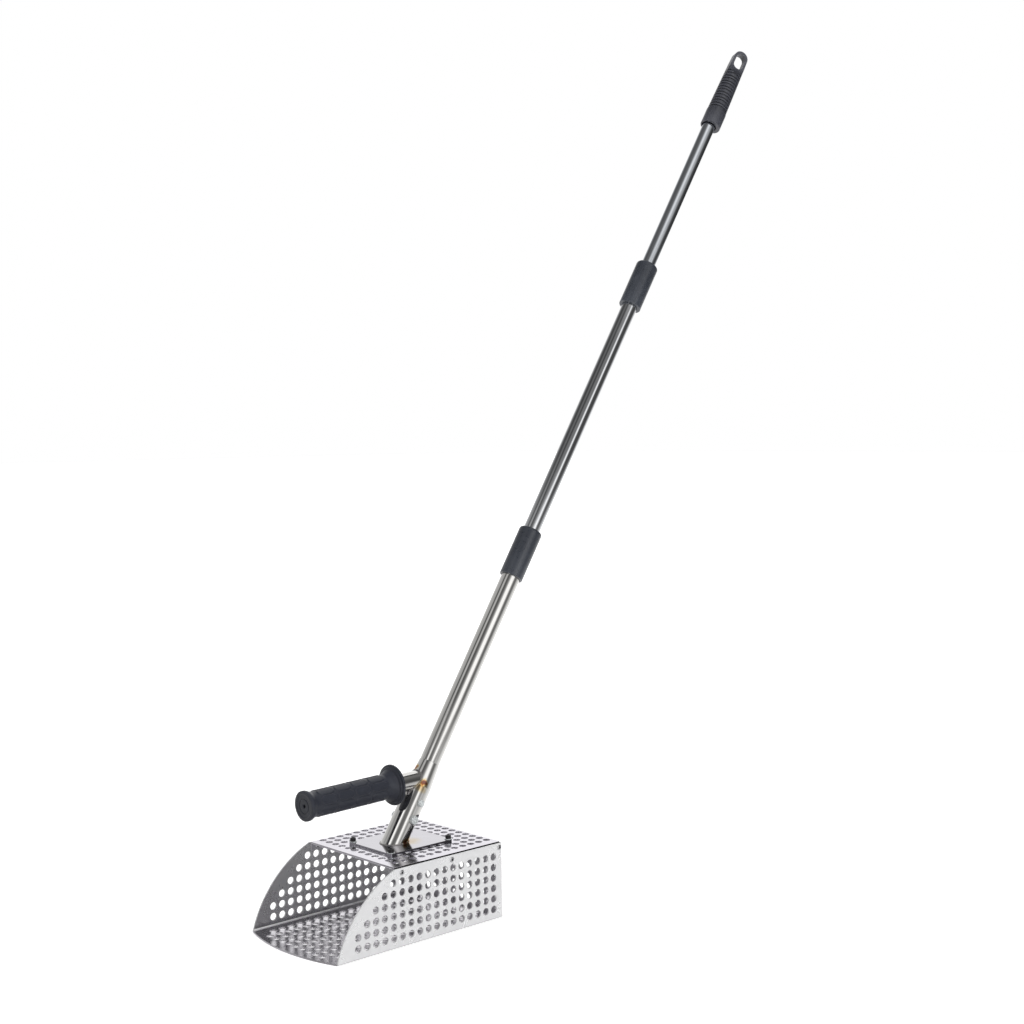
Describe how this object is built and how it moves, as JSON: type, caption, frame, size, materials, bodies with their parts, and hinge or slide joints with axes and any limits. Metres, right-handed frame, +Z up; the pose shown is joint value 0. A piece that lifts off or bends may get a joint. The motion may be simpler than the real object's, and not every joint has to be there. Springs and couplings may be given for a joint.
{
  "type": "beach sand scoop",
  "caption": "Long-handled beach sand scoop: open-fronted perforated sheet-steel box with a covered back, a leaning telescopic pole with twist collars, a forward side grip and an end grip.",
  "frame": {"origin": "centre of the underside of the scoop floor, on the ground", "axes": "+Z up, the open mouth of the scoop faces -Y, the pole leans back towards +Y, X across the scoop"},
  "size_m": [0.1722, 0.8518, 1.1549],
  "materials": {
    "perforated_steel": "satin perforated stainless sheet",
    "folded_steel": "satin",
    "plate_steel": "smooth satin, almost polished",
    "polished_tube": "mirror-polished stainless tube",
    "weld": "heat-tinted weld bead",
    "rivet": "satin",
    "zinc_hardware": "bright zinc plate",
    "black_screw": "black oxide",
    "grip_rubber": "matt charcoal",
    "collar_plastic": "moulded charcoal",
    "grip_plastic": "moulded charcoal",
    "bush_plastic": "plain black"
  },
  "bodies": {
    "scoop": {"floor_sheet": "perforated_steel", "left_wall": "perforated_steel", "right_wall": "perforated_steel", "back_wall": "perforated_steel", "top_cover": "perforated_steel", "cover_flange_left": "folded_steel", "cover_flange_right": "folded_steel", "cover_rivets": "rivet", "pole_plate": "plate_steel", "plate_screws": "black_screw", "plate_washers": "zinc_hardware", "plate_nuts": "zinc_hardware", "pole_socket": "polished_tube", "foot_weld": "weld", "lower_tube": "polished_tube", "pole_bolt_lower": "zinc_hardware", "pole_bolt_upper": "zinc_hardware", "pole_nut_lower": "zinc_hardware", "pole_nut_upper": "zinc_hardware", "handle_stub": "polished_tube", "stub_weld": "weld", "side_grip": "grip_rubber", "lower_bush": "bush_plastic", "lower_collet": "bush_plastic"},
    "lower_collar": {"lower_collar": "collar_plastic"},
    "middle": {"middle_tube": "polished_tube", "middle_guide": "bush_plastic", "upper_bush": "bush_plastic", "upper_collet": "bush_plastic"},
    "upper_collar": {"upper_collar": "collar_plastic"},
    "upper": {"upper_tube": "polished_tube", "upper_guide": "bush_plastic", "end_grip": "grip_plastic"}
  },
  "joints": [
    {"name": "lower_collar_twist", "type": "hinge", "parent": "scoop", "child": "lower_collar", "pos_m": [0, 0.24386, 0.43647], "axis": [0, 0.5402, 0.8415], "range_deg": [0, 90]},
    {"name": "middle_slide", "type": "slide", "parent": "scoop", "child": "middle", "axis": [0, 0.5402, 0.8415], "range_m": [-0.268, 0]},
    {"name": "upper_collar_twist", "type": "hinge", "parent": "middle", "child": "upper_collar", "pos_m": [0, 0.47508, 0.79664], "axis": [0, 0.5402, 0.8415], "range_deg": [0, 90]},
    {"name": "upper_slide", "type": "slide", "parent": "middle", "child": "upper", "axis": [0, 0.5402, 0.8415], "range_m": [-0.248, 0]}
  ]
}
